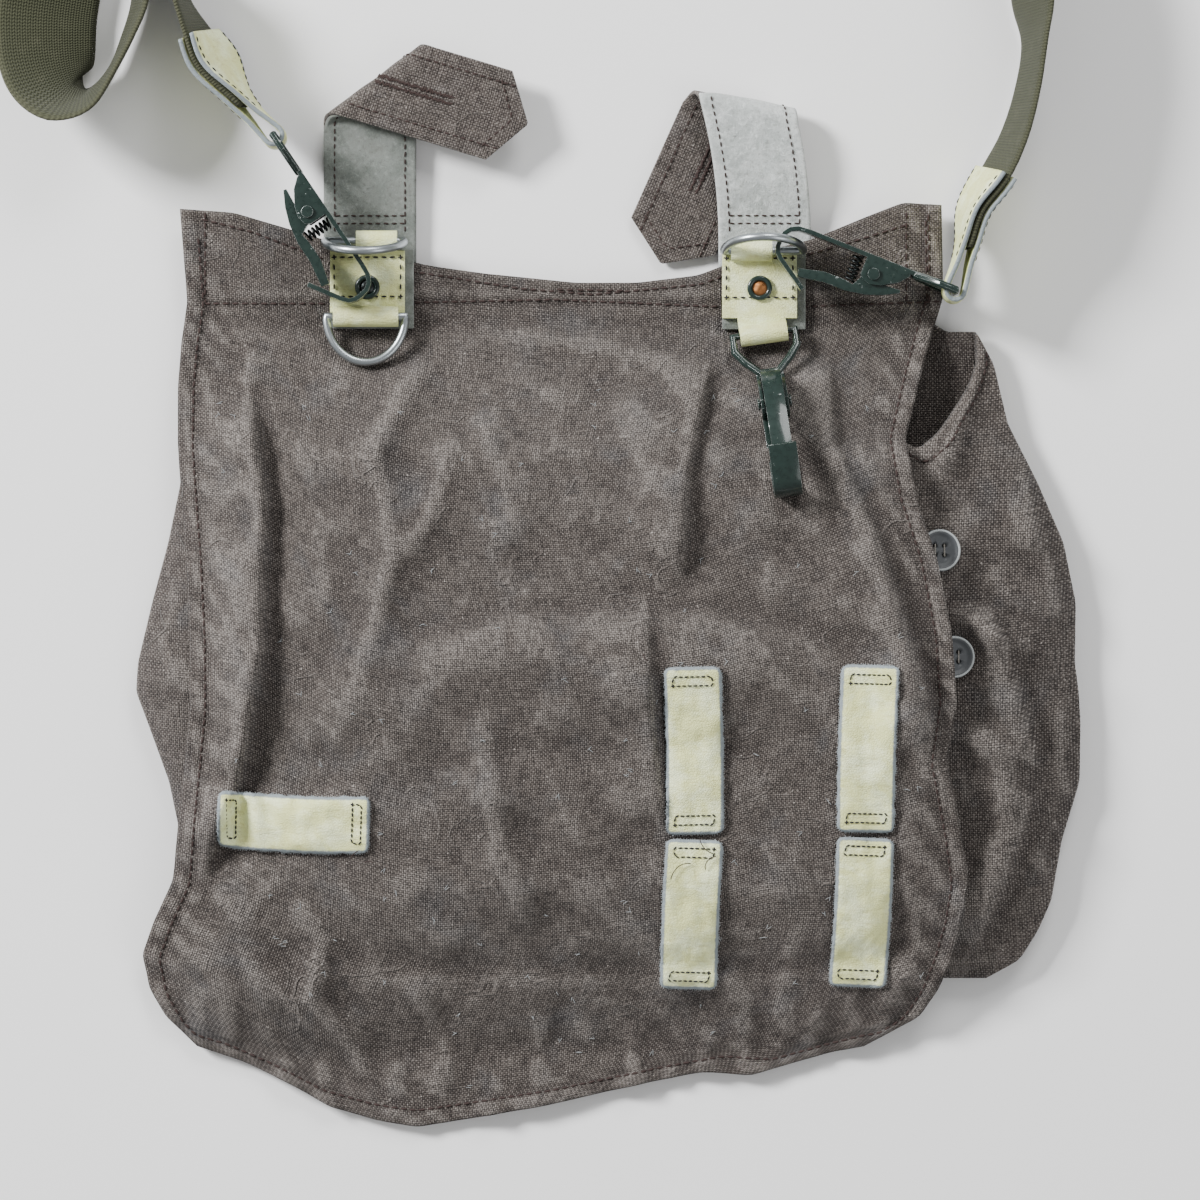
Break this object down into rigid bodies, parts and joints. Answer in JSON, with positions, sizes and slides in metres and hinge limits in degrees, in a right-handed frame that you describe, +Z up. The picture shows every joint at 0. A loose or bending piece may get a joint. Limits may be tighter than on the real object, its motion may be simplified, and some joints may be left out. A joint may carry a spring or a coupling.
{
  "type": "haversack",
  "caption": "Worn canvas haversack lying on its back, with a buttoned flap, leather keeper strips, belt loops, D-rings, snap hooks and a webbing shoulder strap.",
  "frame": {"origin": "a point on the underside of the pouch's back panel, below the middle of the bag, on the surface that it lies on", "axes": "+X to the right of the bag as it lies, +Y up the bag from its bottom seam to the shoulder strap, +Z up out of the flap"},
  "size_m": [0.3927, 0.5669, 0.0516],
  "materials": {
    "canvas": "matte, worn plain weave",
    "leather": "satin, worn grain",
    "suede": "matte nap",
    "webbing": "matte",
    "steel": "bright, lightly tarnished",
    "green_paint": "gloss, chipped at the edges",
    "button": "satin"
  },
  "bodies": {
    "root": {"flap": "canvas", "pouch": "canvas", "belt_loop_left_tab": "canvas", "belt_loop_right_tab": "canvas", "keeper_upper_inner": "leather", "keeper_lower_inner": "leather", "keeper_upper_outer": "leather", "keeper_lower_outer": "leather", "keeper_cross": "leather", "chape_left": "leather", "chape_right": "leather", "strap_end_left": "leather", "strap_end_right": "leather", "backing_left": "suede", "backing_right": "suede", "belt_loop_left_face": "suede", "belt_loop_right_face": "suede", "strap_webbing": "webbing", "d_ring_left": "steel", "d_ring_right": "steel", "rivet_left": "green_paint", "rivet_right": "green_paint", "hook_left_body": "green_paint", "hook_left_pin": "green_paint", "hook_left_spring": "green_paint", "hook_right_body": "green_paint", "hook_right_pin": "green_paint", "hook_right_spring": "green_paint", "button_upper": "button", "button_lower": "button"},
    "d_ring_lower": {"d_ring_lower": "steel"},
    "hook_spare": {"hook_spare_body": "green_paint", "hook_spare_pin": "green_paint", "hook_spare_spring": "green_paint"},
    "lever_left": {"hook_left_lever": "green_paint"},
    "lever_right": {"hook_right_lever": "green_paint"},
    "lever_spare": {"hook_spare_lever": "green_paint"}
  },
  "joints": [
    {"name": "d_ring_lower_swing", "type": "hinge", "parent": "root", "child": "d_ring_lower", "pos_m": [-0.08453, 0.11677, 0.01378], "axis": [-1, 0, 0], "range_deg": [0, 75]},
    {"name": "hook_spare_swing", "type": "hinge", "parent": "root", "child": "hook_spare", "pos_m": [0.05906, 0.11065, 0.01378], "axis": [-0.9903, -0.1392, 0], "range_deg": [0, 80]},
    {"name": "lever_left_press", "type": "hinge", "parent": "root", "child": "lever_left", "pos_m": [-0.10517, 0.15389, 0.02058], "axis": [0, 0, 1], "range_deg": [0, 6], "stiffness_Nm_per_rad": 0.05, "springref_deg": -20.05},
    {"name": "lever_right_press", "type": "hinge", "parent": "root", "child": "lever_right", "pos_m": [0.09826, 0.13146, 0.02058], "axis": [0, 0, -1], "range_deg": [0, 6], "stiffness_Nm_per_rad": 0.05, "springref_deg": -20.05},
    {"name": "lever_spare_press", "type": "hinge", "parent": "hook_spare", "child": "lever_spare", "pos_m": [0.06262, 0.08528, 0.02915], "axis": [0.9903, 0.1392, 0], "range_deg": [0, 6], "stiffness_Nm_per_rad": 0.05, "springref_deg": -20.05}
  ]
}
